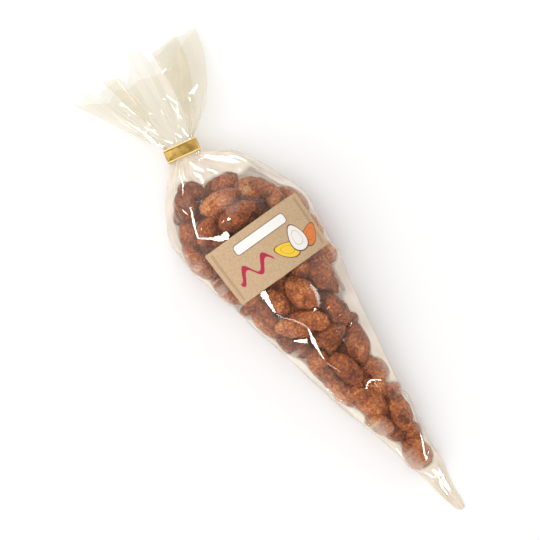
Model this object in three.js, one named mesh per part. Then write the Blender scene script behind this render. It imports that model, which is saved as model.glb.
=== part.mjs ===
// Candied almonds in a clear pointed bag of film. The bag lies on its back with the label up.
// Its mouth is gathered in a gold band, and above the band the film spreads into a ruffle.
// Lengths are in millimetres. "Along" runs from the pointed tip towards the mouth, "across" runs to
// the right of the label, and heights are above the surface that the bag lies on.
import * as THREE from "three";

// Driving dimensions
const BAG_LENGTH = 374.5;
const NECK_ALONG = 304;
const NECK_HEIGHT = 17;
const NECK_HALF_WIDTH = 10.3;
const NECK_HALF_DEPTH = 2.2;
const NECK_SLANT_DEG = 14;
const GAP = 0.35;

const BAND_WIDTH = 9.2;
const BAND_HALF_LENGTH = 12.3;
const BAND_HALF_DEPTH = 3.7;
const BAND_WALL = 0.75;
const BEAD_WIDTH = 1.5;
const BEAD_RISE = 0.45;

const LABEL_LENGTH = 80;
const LABEL_WIDTH = 40.2;
const LABEL_THICKNESS = 0.45;
const LABEL_LEFT = -31;
const LABEL_ALONG = 216.8;
const LABEL_TURN_DEG = 2.4;

const RUFFLE_THICKNESS = 2.6;
const GATHER_DEPTH = 0.11;
const GATHER_COUNT = 9;

// The filled body runs between these two places. Its gathers start at the shoulder, and from there
// the rings lean towards the band's slant, by this share of it at most.
const BODY_START = 41;
const BODY_END = 288;
const SHOULDER = 262;
const SHOULDER_LEAN = 0.5;
const GATHERED = 290;

// Almonds raise the film over this share of their length and width, by this height, and the relief
// dies out near the bag's side and round the flat label.
const ALMOND_SPREAD = 0.56;
const ALMOND_RISE = 3.2;
const RELIEF_REACH = 0.35;
const LABEL_MARGIN = 3;
const LABEL_FADE = 4;

// The frame's origin is under the middle of the whole bag.
const ORIGIN_ACROSS = 6.2;
const ORIGIN_ALONG = BAG_LENGTH / 2;

// Sections of the filled bag: along, left edge, right edge, underside, top, crest (where the top is
// highest), and how thin the slack film runs out at the left and right edges, from 0 to 1.
const SECTIONS = [
  [0, -1.3, 1.1, 0, 1.0, 0, 0, 0],
  [4, -3.9, 2.6, 0, 1.4, -0.6, 0, 0],
  [20, -6.6, 4.6, 0, 2.0, -1, 0, 0],
  [32, -8.2, 8.9, 0, 3.6, 0, 0.3, 0.3],
  [41, -10.0, 9.6, 0, 13.2, 0, 0.2, 0.2],
  [52, -11.6, 11.2, 0, 17.2, 0, 0.1, 0.1],
  [66, -14.2, 14.2, 0, 19.5, 0, 0.6, 0.7],
  [80, -16.5, 15.2, 0, 22.5, 0, 0.2, 0.1],
  [97, -21.3, 18.0, 0, 25.5, -1, 0.7, 0.4],
  [120, -25.5, 22.6, 0, 30, -1, 0.8, 0.5],
  [140, -28.5, 27.8, 0, 35.5, -1, 0.8, 0.7],
  [160, -30.2, 32.5, 0, 41, -3, 0.3, 1],
  [180, -33.2, 39.0, 0, 46.5, -1, 0.1, 1],
  [205, -38.2, 42.8, 0, 52.5, 1, 0.1, 0.5],
  [232, -44.2, 47.4, 0, 57, 1, 0.3, 0.4],
  [250, -45.0, 42.0, 0, 55.5, 0, 0.4, 0.4],
  [265, -43.0, 37.2, 0, 49, -2, 0.5, 0.3],
  [278, -32.5, 32.0, 1.5, 41, -4, 0.4, 0.1],
  [288, -20.5, 25.5, 6.5, 32, -1, 0.1, 0],
];
const COLUMN = { left: 1, right: 2, low: 3, high: 4, crest: 5, thinLeft: 6, thinRight: 7 };
const WIDEST_LEVEL = 0.4;
const BELLY_FLATNESS = 1.45;
const EDGE_THINNING = 0.7;

// Almonds that press the film out: across, along, length, width, turn of the long axis in degrees
// from the bag's length towards the right.
const ALMONDS = [
  [-1, 49, 24, 19, 0],
  [8, 78, 27, 14, 15],
  [-9, 80, 21, 12, -12],
  [-5, 97, 25, 18, -15],
  [12, 111, 20, 12, -5],
  [-15, 113, 26, 12, -6],
  [-4, 124, 28, 15, -8],
  [14, 132, 28, 15, 25],
  [-18, 133, 22, 11, -15],
  [2, 147, 23, 12, 98],
  [-22, 155, 25, 12, -32],
  [-15, 167, 21, 14, -55],
  [-4, 163, 26, 13, -38],
  [16, 157, 24, 15, -12],
  [4, 181, 27, 18, -6],
  [24, 184, 25, 18, 20],
  [-12, 186, 21, 11, 0],
  [-23, 184, 19, 11, 10],
  [-31, 178, 26, 11, -4],
  [36, 193, 20, 11, -25],
  [-36, 211, 26, 11, -10],
  [41, 210, 20, 11, 10],
  [-38, 240, 29, 12, 2],
  [-31, 256, 22, 12, 25],
  [-21, 276, 25, 15, 25],
  [-2, 262, 27, 15, 98],
  [2, 247, 27, 15, 90],
  [23, 254, 27, 17, 122],
  [9, 268, 18, 13, 80],
  [-20, 252, 18, 12, 60],
];

// Mouth of the ruffle: across, along and height at each fold, from the right edge to the left edge.
const MOUTH_FOLDS = [
  [57.5, 362.5, 2.8],
  [51, 363.5, 9],
  [44, 364.5, 17],
  [34, 366, 21],
  [26, 367, 15],
  [20, 365, 7],
  [18, 373, 21],
  [10.5, 374.5, 29],
  [3, 365, 23],
  [-1.5, 360, 9],
  [-6, 370, 20],
  [-14, 371, 25],
  [-21, 362, 9],
  [-29, 371.5, 17],
  [-38.5, 371.5, 3],
];

// Facets
const STEPS_PER_FOLD = 2;
const HALF_RING = (MOUTH_FOLDS.length - 1) * STEPS_PER_FOLD;
const RING = 2 * HALF_RING;
const TIP_ROWS = [0, 1.5, 4, 10, 17, 24, 30, 35, 38];
const BODY_STEP = 4;
const NECK_ROWS = [0.4, 0.75];
const RUFFLE_ROWS = 12;
const LABEL_STEPS = 32;
const LABEL_ROWS = 6;
const LABEL_SEARCH_STEPS = 400;
const BAND_STEPS = 56;

const UPWARDS = new THREE.Vector3(0, 0, 1);
const NECK_CENTRE = new THREE.Vector3(0, NECK_ALONG, NECK_HEIGHT);

const radians = THREE.MathUtils.degToRad;
const smooth = THREE.MathUtils.smoothstep;
const mix = THREE.MathUtils.lerp;

// Value of one column of a table at a place along it, on a Catmull-Rom curve through its rows.
function sample(table, column, place) {
  const last = table.length - 1;
  let i = 0;
  while (i < last - 1 && table[i + 1][0] < place) i += 1;
  const before = table[Math.max(i - 1, 0)];
  const start = table[i];
  const end = table[i + 1];
  const after = table[Math.min(i + 2, last)];
  const span = end[0] - start[0];
  const t = THREE.MathUtils.clamp((place - start[0]) / span, 0, 1);
  const slopeIn = (end[column] - before[column]) / (end[0] - before[0]);
  const slopeOut = (after[column] - start[column]) / (after[0] - start[0]);
  const t2 = t * t;
  const t3 = t2 * t;
  return (
    (2 * t3 - 3 * t2 + 1) * start[column] +
    (t3 - 2 * t2 + t) * span * slopeIn +
    (3 * t2 - 2 * t3) * end[column] +
    (t3 - t2) * span * slopeOut
  );
}

// Closed mesh from rings of points. Each ring has the same count, and both ends are capped.
function loft(rings) {
  const count = rings[0].length;
  const positions = rings.flat().flatMap((p) => [p.x, p.y, p.z]);
  const faces = [];
  for (let r = 0; r < rings.length - 1; r += 1) {
    for (let k = 0; k < count; k += 1) {
      const a = r * count + k;
      const b = r * count + ((k + 1) % count);
      faces.push(a, b, b + count, a, b + count, a + count);
    }
  }
  const cap = (ring, first, flipped) => {
    const centre = ring.reduce((sum, p) => sum.add(p), new THREE.Vector3()).divideScalar(count);
    const hub = positions.length / 3;
    positions.push(centre.x, centre.y, centre.z);
    for (let k = 0; k < count; k += 1) {
      const a = first + k;
      const b = first + ((k + 1) % count);
      faces.push(...(flipped ? [hub, b, a] : [hub, a, b]));
    }
  };
  cap(rings[0], 0, true);
  cap(rings[rings.length - 1], (rings.length - 1) * count, false);
  return geometryOf(positions, faces);
}

// Closed ring of sections, such as a band round a neck.
function ringLoft(sections) {
  const count = sections[0].length;
  const turns = sections.length;
  const faces = [];
  for (let s = 0; s < turns; s += 1) {
    const next = (s + 1) % turns;
    for (let k = 0; k < count; k += 1) {
      const k2 = (k + 1) % count;
      const a = s * count + k;
      const b = s * count + k2;
      const c = next * count + k2;
      const d = next * count + k;
      faces.push(a, b, c, a, c, d);
    }
  }
  return geometryOf(sections.flat().flatMap((p) => [p.x, p.y, p.z]), faces);
}

function geometryOf(positions, faces) {
  const geometry = new THREE.BufferGeometry();
  geometry.setAttribute("position", new THREE.Float32BufferAttribute(positions, 3));
  geometry.setIndex(faces);
  geometry.computeVertexNormals();
  return geometry;
}

// Height that the almonds push the film up, at a place seen from above.
function almondRise(across, along) {
  let rise = 0;
  for (const [u, v, length, width, turn] of ALMONDS) {
    const du = across - u;
    const dv = along - v;
    const s = Math.sin(radians(turn));
    const c = Math.cos(radians(turn));
    const p = (dv * c + du * s) / (ALMOND_SPREAD * length);
    const q = (du * c - dv * s) / (ALMOND_SPREAD * width);
    rise = Math.max(rise, 1 - p * p - q * q);
  }
  return ALMOND_RISE * Math.sqrt(rise);
}

// Share of the almonds' relief left at a place: none under the flat label.
function besideLabel(across, along) {
  const sideways = Math.max(LABEL_LEFT - LABEL_MARGIN - across, 0);
  const lengthways = Math.abs(along - LABEL_ALONG) - LABEL_WIDTH / 2 - LABEL_MARGIN;
  return smooth(Math.max(sideways, lengthways), 0, LABEL_FADE);
}

// Point of the smooth bag at a place along and an angle: 0 at the right, a quarter turn at the top.
function bagPoint(along, angle) {
  const at = (name) => sample(SECTIONS, COLUMN[name], along);
  const c = Math.cos(angle);
  const s = Math.sin(angle);
  const edge = c > 0 ? at("right") : at("left");
  const thin = c > 0 ? at("thinRight") : at("thinLeft");
  const low = at("low");
  const high = at("high");
  const level = mix(low, high, WIDEST_LEVEL);
  const share = Math.pow(Math.abs(s), 1 + EDGE_THINNING * thin);
  const above = mix(level, high, share);
  const below = mix(level, low, Math.min(1, BELLY_FLATNESS * share));
  const height = s > 0 ? above : below;
  return new THREE.Vector3(mix(at("crest"), edge, Math.abs(c)), along, height);
}

// The same with the almonds' relief and the gathers that run down from the neck.
function filledPoint(along, angle) {
  const point = bagPoint(along, angle);
  const upward = Math.max(Math.sin(angle), 0);
  const sideways = Math.cos(angle);
  const relief = almondRise(point.x, along) * besideLabel(point.x, along);
  const reach = smooth(upward, 0, RELIEF_REACH);
  point.x += relief * sideways * reach;
  point.z += relief * upward * reach;
  const gather = GATHER_DEPTH * smooth(along, SHOULDER, GATHERED) * Math.cos(GATHER_COUNT * angle);
  const level = mix(sample(SECTIONS, COLUMN.low, along), sample(SECTIONS, COLUMN.high, along), 0.5);
  point.x *= 1 + gather * 0.6;
  point.z = Math.max(0, level + (point.z - level) * (1 + gather));
  return point;
}

// Point of the neck, at a distance from the band's middle. The neck is square to the slanted band.
function neckPoint(offset, angle) {
  const across = NECK_HALF_WIDTH * Math.cos(angle);
  const up = NECK_HALF_DEPTH * Math.sin(angle);
  const point = new THREE.Vector3(across, offset, up);
  point.applyAxisAngle(UPWARDS, -radians(NECK_SLANT_DEG));
  return point.add(NECK_CENTRE);
}

// The shoulders lean towards the band's slant: points to the right sit nearer the tip.
function leanWithBand(point, share) {
  point.y -= share * Math.tan(radians(NECK_SLANT_DEG)) * point.x;
  return point;
}

// Point of the ruffle's mouth, over or under its thin wall.
function mouthPoint(k) {
  const folded = k <= HALF_RING ? k : RING - k;
  const first = Math.min(Math.floor(folded / STEPS_PER_FOLD), MOUTH_FOLDS.length - 2);
  const t = folded / STEPS_PER_FOLD - first;
  const [u, v, z] = MOUTH_FOLDS[first].map((value, i) => mix(value, MOUTH_FOLDS[first + 1][i], t));
  const isEdge = folded === 0 || folded === HALF_RING;
  const offset = isEdge ? 0 : RUFFLE_THICKNESS / 2;
  return new THREE.Vector3(u, v, z + (k <= HALF_RING ? offset : -offset));
}

// How far the ruffle has risen or sunk at a share of its length: quickest in its middle.
function ruffleRise(t) {
  return smooth(t, -0.4, 1.25);
}

function ringOf(makePoint) {
  return Array.from({ length: RING }, (_, k) => makePoint((k / RING) * 2 * Math.PI, k));
}

function bagGeometry() {
  const rings = [];
  const neckHalf = BAND_WIDTH / 2 + 1;
  TIP_ROWS.forEach((along) => rings.push(ringOf((angle) => filledPoint(along, angle))));
  const bodyRows = Math.round((BODY_END - BODY_START) / BODY_STEP);
  for (let r = 0; r <= bodyRows; r += 1) {
    const along = mix(BODY_START, BODY_END, r / bodyRows);
    const lean = SHOULDER_LEAN * smooth(along, SHOULDER, BODY_END);
    rings.push(ringOf((angle) => leanWithBand(filledPoint(along, angle), lean)));
  }
  for (const t of NECK_ROWS) {
    rings.push(
      ringOf((angle) => {
        const start = leanWithBand(filledPoint(BODY_END, angle), SHOULDER_LEAN);
        return start.lerp(neckPoint(-neckHalf, angle), t);
      }),
    );
  }
  for (const offset of [-neckHalf, 0, neckHalf]) {
    rings.push(ringOf((angle) => neckPoint(offset, angle)));
  }
  for (let r = 1; r <= RUFFLE_ROWS; r += 1) {
    const t = r / RUFFLE_ROWS;
    rings.push(
      ringOf((angle, k) => {
        const start = neckPoint(neckHalf, angle);
        const end = mouthPoint(k);
        const point = start.clone().lerp(end, t);
        point.z = mix(start.z, end.z, ruffleRise(t) / ruffleRise(1));
        return point;
      }),
    );
  }
  return loft(rings.map((ring) => ring.slice().reverse()));
}

// Outline of a slot with round ends, and its outward direction, at a share of the way round.
function slotPoint(halfLength, halfDepth, share) {
  const straight = halfLength - halfDepth;
  const angle = share * 2 * Math.PI;
  const c = Math.cos(angle);
  const s = Math.sin(angle);
  const side = Math.sign(c) * straight * Math.min(1, Math.abs(c) * 1.6);
  return { x: side + halfDepth * c, z: halfDepth * s, nx: c, nz: s };
}

// Gold band: a flat loop with a raised bead along each edge.
function bandGeometry() {
  const half = BAND_WIDTH / 2;
  const profile = [
    [0, -half],
    [BAND_WALL + BEAD_RISE * 0.6, -half],
    [BAND_WALL + BEAD_RISE, -half + BEAD_WIDTH * 0.5],
    [BAND_WALL, -half + BEAD_WIDTH],
    [BAND_WALL, half - BEAD_WIDTH],
    [BAND_WALL + BEAD_RISE, half - BEAD_WIDTH * 0.5],
    [BAND_WALL + BEAD_RISE * 0.6, half],
    [0, half],
  ];
  const sections = [];
  for (let s = 0; s < BAND_STEPS; s += 1) {
    const inner = slotPoint(
      BAND_HALF_LENGTH - BAND_WALL - BEAD_RISE,
      BAND_HALF_DEPTH - BAND_WALL - BEAD_RISE,
      s / BAND_STEPS,
    );
    sections.push(
      profile.map(([out, y]) => new THREE.Vector3(inner.x + inner.nx * out, y, inner.z + inner.nz * out)),
    );
  }
  return ringLoft(sections);
}

// Point of the smooth film on a line across the bag that is turned as the label is.
function turnedPoint(along, angle) {
  const fromMiddle = bagPoint(along, angle).x - LABEL_LEFT - LABEL_LENGTH / 2;
  return bagPoint(along - Math.tan(radians(LABEL_TURN_DEG)) * fromMiddle, angle);
}

// Line of points across the bag at a place along it, on the smooth film, each with its outward
// direction, evenly spaced from the label's left edge.
function labelLine(along) {
  const points = [];
  for (let i = 0; i <= LABEL_SEARCH_STEPS; i += 1) {
    points.push(turnedPoint(along, Math.PI * (1 - i / LABEL_SEARCH_STEPS)));
  }
  const line = [];
  let travelled = 0;
  let started = false;
  for (let i = 1; i < LABEL_SEARCH_STEPS && line.length <= LABEL_STEPS; i += 1) {
    if (!started && points[i].x >= LABEL_LEFT) started = true;
    if (!started) continue;
    if (travelled >= (line.length * LABEL_LENGTH) / LABEL_STEPS) {
      const tangent = points[i + 1].clone().sub(points[i - 1]);
      const out = new THREE.Vector3(-tangent.z, 0, tangent.x).normalize();
      line.push({ point: points[i].clone(), out });
    }
    travelled += points[i + 1].distanceTo(points[i]);
  }
  return line;
}

// Card label, bent over the top of the bag and down its right side.
function labelGeometry() {
  const lines = [];
  for (let r = 0; r <= LABEL_ROWS; r += 1) {
    lines.push(labelLine(LABEL_ALONG + LABEL_WIDTH * (r / LABEL_ROWS - 0.5)));
  }
  const place = ({ point, out }, offset) => point.clone().addScaledVector(out, offset);
  const rings = lines.map((line) => [
    ...line.map((spot) => place(spot, GAP + LABEL_THICKNESS)),
    ...line
      .slice()
      .reverse()
      .map((spot) => place(spot, GAP)),
  ]);
  return stripLoft(rings);
}

// Closed mesh from rings that are thin strips, with each end closed by a row of narrow quads.
function stripLoft(rings) {
  const count = rings[0].length;
  const half = count / 2;
  const faces = [];
  for (let r = 0; r < rings.length - 1; r += 1) {
    for (let k = 0; k < count; k += 1) {
      const a = r * count + k;
      const b = r * count + ((k + 1) % count);
      faces.push(a, b, b + count, a, b + count, a + count);
    }
  }
  const last = (rings.length - 1) * count;
  for (let k = 0; k < half - 1; k += 1) {
    const far = count - 1 - k;
    faces.push(k, far - 1, k + 1, k, far, far - 1);
    faces.push(last + k, last + k + 1, last + far - 1, last + k, last + far - 1, last + far);
  }
  return geometryOf(rings.flat().flatMap((p) => [p.x, p.y, p.z]), faces);
}

const almondsInFilm = new THREE.MeshStandardMaterial({ color: 0xa5623c, roughness: 0.35, metalness: 0 });
const goldFoil = new THREE.MeshStandardMaterial({ color: 0xc89a35, roughness: 0.3, metalness: 0.9 });
const kraftCard = new THREE.MeshStandardMaterial({ color: 0xc9ab82, roughness: 0.8, metalness: 0 });

const bag = new THREE.Mesh(bagGeometry(), almondsInFilm);
bag.name = "bag";

const band = new THREE.Mesh(bandGeometry(), goldFoil);
band.name = "tie";
band.position.copy(NECK_CENTRE);
band.rotation.z = -radians(NECK_SLANT_DEG);

const label = new THREE.Mesh(labelGeometry(), kraftCard);
label.name = "label";

const almondBag = new THREE.Group();
almondBag.add(bag, band, label);
almondBag.position.set(-ORIGIN_ACROSS, -ORIGIN_ALONG, 0);

const part = new THREE.Group();
part.add(almondBag);

export default part;
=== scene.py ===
"""Candied almonds in a clear pointed bag of film, tied with a gold band and lying on its back.

Lengths are millimetres until a mesh is made. Points are [across, along, up] in the frame's own axes.
"""

import math

import bmesh
import bpy
import numpy as np
from mathutils import Matrix, Vector, noise
from mathutils.bvhtree import BVHTree


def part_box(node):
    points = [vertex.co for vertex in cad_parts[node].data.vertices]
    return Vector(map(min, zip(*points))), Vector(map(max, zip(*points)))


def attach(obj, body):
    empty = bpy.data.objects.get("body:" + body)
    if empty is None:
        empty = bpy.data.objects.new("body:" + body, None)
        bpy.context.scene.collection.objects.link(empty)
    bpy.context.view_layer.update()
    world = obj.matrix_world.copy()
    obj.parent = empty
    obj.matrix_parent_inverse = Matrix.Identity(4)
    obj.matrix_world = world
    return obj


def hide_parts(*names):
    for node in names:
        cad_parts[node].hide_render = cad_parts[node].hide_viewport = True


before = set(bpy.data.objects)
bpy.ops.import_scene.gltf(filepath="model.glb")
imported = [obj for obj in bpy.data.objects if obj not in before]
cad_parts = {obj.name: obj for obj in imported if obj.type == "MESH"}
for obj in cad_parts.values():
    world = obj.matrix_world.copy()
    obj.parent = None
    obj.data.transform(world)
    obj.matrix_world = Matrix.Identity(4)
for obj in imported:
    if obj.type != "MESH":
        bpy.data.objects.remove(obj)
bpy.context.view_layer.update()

MM = 0.001
SEED = 7

# Places along the bag are counted from its pointed tip, places across it from the line of the neck.
TIP = np.array([-6.2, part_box("bag")[0].y / MM, 0.0])
NECK_ALONG = 304.0
BAND_SLANT = math.radians(14)

# Camera: straight above, with a long lens. The photograph is 540 pixels square.
PICTURE_PIXELS = 540
MM_PER_PIXEL = 0.66
PICTURE_CENTRE = (-3.1, 205.5)
PICTURE_TURN = math.atan2(0.6175, 0.7865)
CAMERA_HEIGHT = 1700.0
FOCUS_HEIGHT = 25.0

# Shown almonds: across, along, length, width, thickness, turn of the long axis from the bag's length
# towards the right in degrees, and how far the almond lies below the film's smooth surface.
SHOWN_ALMONDS = [
    (-1, 49, 24, 19, 14, 0, 0),
    (0, 64, 19, 16, 12, 20, 5),
    (8, 78, 27, 15, 13, 15, 0),
    (-9, 80, 22, 13, 12, -12, 1),
    (-6, 97, 25, 17, 13, -12, 0),
    (5, 99, 22, 14, 12, -28, 3),
    (13, 111, 20, 14, 12, -5, 2),
    (-15, 113, 27, 13, 12, -6, 2),
    (-4, 124, 28, 15, 13, -8, 0),
    (14, 132, 28, 16, 13, 25, 0),
    (-15.5, 132, 23, 13, 12, -15, 4),
    (2, 147, 24, 13, 12, 98, 2),
    (-22, 155, 26, 13, 12, -32, 2),
    (-16, 141, 20, 11, 11, -22, 3),
    (-15, 168, 22, 14, 12, -55, 0),
    (-4, 163, 27, 14, 13, -38, 0),
    (16, 157, 24, 15, 13, -12, 0),
    (4, 181, 27, 18, 14, -6, 0),
    (24, 184, 26, 18, 13, 20, 0),
    (-12, 186, 21, 12, 12, 0, 1),
    (-23, 184, 20, 12, 12, 10, 1),
    (-31, 177, 27, 14, 12, -4, 3),
    (-29, 158, 24, 13, 12, -8, 4),
    (34, 194, 22, 14, 12, -35, 3),
    (-21, 202, 25, 16, 13, 70, 1),
    (2, 204, 26, 16, 13, 95, 1),
    (22, 207, 26, 16, 13, 20, 1),
    (-36, 211, 27, 14, 12, -10, 2),
    (40, 210, 22, 14, 12, 10, 2),
    (-22, 222, 26, 16, 13, 10, 1),
    (-4, 222, 26, 16, 13, -15, 1),
    (14, 226, 26, 16, 13, 60, 1),
    (35, 229, 27, 16, 13, 0, 1),
    (-38, 240, 29, 14, 12, 2, 1),
    (-32, 256, 23, 14, 12, 25, 2),
    (-21, 276, 26, 16, 13, 30, 0),
    (-14, 278, 20, 13, 12, -28, 3),
    (-2, 262, 27, 15, 13, 98, 0),
    (2, 247, 28, 16, 14, 90, 0),
    (23, 254, 27, 17, 14, 122, 0),
    (9, 268, 20, 14, 12, 80, 2),
    (-20, 251, 20, 13, 12, 60, 1),
    (29, 241, 22, 13, 12, 20, 3),
]
# Where the crust has chipped and the paler kernel shows: across, along.
BARE_SPOTS = [(-12, 83), (17, 256)]
# Places under the gaps between shown almonds: across, along, up.
UNDER_GAPS = [
    (-1, 72, 7),
    (-3, 86, 7),
    (8, 92, 7),
    (-3, 108, 7),
    (7, 117, 8),
    (-14, 124, 8),
    (1, 134, 8),
    (-12, 151, 8),
    (-7, 176, 9),
    (-30, 192, 10),
    (-32, 222, 10),
    (-28, 246, 12),
    (26, 244, 12),
    (6, 258, 10),
    (-2, 268, 9),
    (-22, 268, 9),
]
# Hidden almonds: length, width and thickness, how far along the bag they reach, and the lattice that
# they start from: its spacing, layers, lowest layer, room to other almonds and depth under the film.
HIDDEN_ALMOND = (25.0, 15.5, 12.5)
HIDDEN_END = 256.0
HIDDEN_SPACING = 15.2
HIDDEN_LAYER = 0.8 * HIDDEN_SPACING
HIDDEN_LOWEST = 7
HIDDEN_ROOM = 0.84 * HIDDEN_SPACING
HIDDEN_DEPTH = 5.0
# Farthest that a hidden almond's middle lies to the right, where the film's margin hangs bare there:
# along, across.
BARE_MARGIN = [(120, 60), (136, 11.5), (164, 13), (178, 19), (190, 60)]
# Segments and rings of a shown and of a hidden almond.
SHOWN_GRID = (44, 28)
HIDDEN_GRID = (26, 18)
# A height above the whole bag, and the way down from it.
ABOVE_BAG = 200.0
DOWN = (0, 0, -1)


def in_frame(across, along, up):
    """Point in the frame's axes from its places across and along the bag."""
    return np.array([across + TIP[0], along + TIP[1], up], float)


def box_of(node):
    """Low and high corner of a CAD node's box."""
    return [np.array(corner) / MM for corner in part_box(node)]


def smoothstep(value, low, high):
    share = np.clip((value - low) / (high - low), 0.0, 1.0)
    return share * share * (3 - 2 * share)


def mix(start, end, share):
    return start + (end - start) * share


# ---------------------------------------------------------------- the bag's outer surface


class Surface:
    """Rays against a CAD node, with lengths in millimetres."""

    def __init__(self, node):
        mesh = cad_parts[node].data
        points = [v.co / MM for v in mesh.vertices]
        faces = [tuple(p.vertices) for p in mesh.polygons]
        self.tree = BVHTree.FromPolygons(points, faces)

    def hit(self, start, direction):
        """First hit of a ray as (point, outward normal), or None."""
        point, normal, _, _ = self.tree.ray_cast(Vector(start), Vector(direction))
        return None if point is None else (np.array(point), np.array(normal))

    def inset(self, point):
        """How deep a point lies inside, and the direction inwards from the nearest place."""
        near, normal, _, _ = self.tree.find_nearest(Vector(point))
        normal = np.array(normal)
        return float((np.array(near) - point) @ normal), -normal


outside = Surface("bag")


# ---------------------------------------------------------------- almonds: where each one lies
# A shown almond's gaps to the film over it and to the floor, and the slope of film past which it is
# lowered no further. The film's slope is read at its middle and at shares of its length and width.
UNDER_FILM = 0.9
OVER_FLOOR = 0.8
LEAST_UPRIGHT = 0.45
SLOPE_PLACES = ((0, 0), (0.3, 0), (-0.3, 0), (0, 0.3), (0, -0.3))
# Rounds of pushing, and the shares that each round takes: of an overlap, of a push that a held almond
# withstands, of its way back home and of a push by the film.
ROUNDS = 90
PARTING = 0.35
HOLDING = 0.8
HOMING = 0.15
FILM_PUSH = 0.6
FILM_GAP = 0.7
FLOOR_CLEARANCE = 1.3


def almond_axes(long_axis, flat_normal):
    """Orthonormal rows: along the almond, across its flat side, and through its thickness."""
    through = flat_normal / np.linalg.norm(flat_normal)
    along = long_axis - through * (long_axis @ through)
    along = along / np.linalg.norm(along)
    return np.array([along, np.cross(through, along), through])


def place_shown(row):
    """Centre, axes and half sizes of an almond that presses against the film from inside."""
    across, along, length, width, thickness, turn, sink = row
    turn = math.radians(turn)
    long_axis = np.array([math.sin(turn), math.cos(turn), 0.0])
    side_axis = np.array([math.cos(turn), -math.sin(turn), 0.0])
    place = in_frame(across, along, ABOVE_BAG)
    normal = np.zeros(3)
    for share_along, share_side in SLOPE_PLACES:
        start = place + long_axis * share_along * length + side_axis * share_side * width
        found = outside.hit(start, DOWN)
        if found:
            normal += found[1]
    top = outside.hit(place, DOWN)[0]
    axes = almond_axes(long_axis, normal)
    half = np.array([length, width, thickness]) / 2
    drop = (half[2] + UNDER_FILM + sink) / max(axes[2][2], LEAST_UPRIGHT)
    centre = np.array([top[0], top[1], max(top[2] - drop, half[2] + OVER_FLOOR)])
    return centre, axes, half


def hidden_starts(taken):
    """Places for the almonds that fill the rest of the bag: under the gaps, then on a loose lattice."""
    low, high = box_of("bag")
    starts = [in_frame(*place) for place in UNDER_GAPS]
    layers = int((high[2] - low[2]) / HIDDEN_LAYER)
    lines = int((high[1] - low[1]) / HIDDEN_SPACING)
    columns = int((high[0] - low[0]) / HIDDEN_SPACING) + 1
    for k, j, i in np.ndindex(layers, lines, columns):
        side = (i + 0.5 * ((j + k) % 2)) * HIDDEN_SPACING
        point = low + np.array([side, j * HIDDEN_SPACING, HIDDEN_LOWEST + k * HIDDEN_LAYER])
        if point[1] > TIP[1] + HIDDEN_END:
            continue
        depth, _ = outside.inset(point)
        room = min(np.linalg.norm(point - other) for other in taken + starts)
        if depth > HIDDEN_DEPTH and room > HIDDEN_ROOM:
            starts.append(point)
    return starts


def pushes_inwards(balls, size):
    """How each ball must move to lie wholly inside the film."""
    push = np.zeros((len(balls), 3))
    for b, ball in enumerate(balls):
        depth, inwards = outside.inset(ball)
        push[b] = inwards * max(size[b] + FILM_GAP - depth, 0)
    return push


def settle(centres, axes, halves, held, rounds):
    """Pushes overlapping almonds apart, each as a chain of three balls, and keeps them in the bag."""
    count = len(centres)
    radius = halves[:, 2] * 0.5 + halves[:, 1] * 0.5
    reach = halves[:, 0] - radius
    offsets = np.array([-1.0, 0.0, 1.0])
    owner = np.repeat(np.arange(count), len(offsets))
    size = np.repeat(radius, len(offsets))
    home = centres.copy()
    apart = owner[:, None] != owner[None, :]
    loose = held == 0
    for _ in range(rounds):
        chain = centres[:, None, :] + axes[:, None, 0, :] * (reach[:, None] * offsets)[..., None]
        balls = chain.reshape(-1, 3)
        gap = balls[:, None, :] - balls[None, :, :]
        distance = np.linalg.norm(gap, axis=-1) + 1e-6
        overlap = np.clip(size[:, None] + size[None, :] - distance, 0, None) * apart
        push = (gap * (PARTING * overlap / distance)[..., None]).sum(1)
        push = push.reshape(count, 3, 3) * (1 - HOLDING * held)[:, None, None]
        centres += (home - centres) * (HOMING * held)[:, None]
        push += FILM_PUSH * pushes_inwards(balls, size).reshape(count, 3, 3)
        centres += push.mean(1)
        centres[loose, 1] = np.minimum(centres[loose, 1], TIP[1] + HIDDEN_END)
        farthest = np.interp(centres[loose, 1] - TIP[1], *np.transpose(BARE_MARGIN)) + TIP[0]
        centres[loose, 0] = np.minimum(centres[loose, 0], farthest)
        turning = (push[:, 2] - push[:, 0]) * (1 - held)[:, None]
        for n in range(count):
            axes[n] = almond_axes(axes[n, 0] + turning[n] / (2 * reach[n]), axes[n, 2])
    down = np.sqrt(((axes[:, :, 2] * halves) ** 2).sum(1))
    centres[:, 2] = np.maximum(centres[:, 2], down + FLOOR_CLEARANCE)
    return centres, axes


def lay_almonds():
    """Centres, axes and half sizes of every almond in the bag, and how many of them are shown."""
    shown = [place_shown(row) for row in SHOWN_ALMONDS]
    centres, axes, halves = (list(part) for part in zip(*shown))
    draw = np.random.default_rng(SEED)
    starts = hidden_starts(centres)
    for point in starts:
        heading = draw.normal(size=3) * (0.7, 1.0, 0.45)
        centres.append(point)
        axes.append(almond_axes(heading, draw.normal(size=3)))
        halves.append(np.array(HIDDEN_ALMOND) / 2 * draw.uniform(0.88, 1.08, size=3))
    loose = len(starts) - len(UNDER_GAPS)
    held = np.array([1.0] * (len(shown) + len(UNDER_GAPS)) + [0.0] * loose)
    rounds = ROUNDS
    centres, axes = settle(np.array(centres), np.array(axes), np.array(halves), held, rounds)
    return centres, axes, np.array(halves), len(shown)


# ---------------------------------------------------------------- node trees
# Places of the Mix node's two inputs and of its result, for colours and for vectors.
MIX_SOCKETS = {"RGBA": (6, 7, 2), "VECTOR": (4, 5, 1)}


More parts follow.
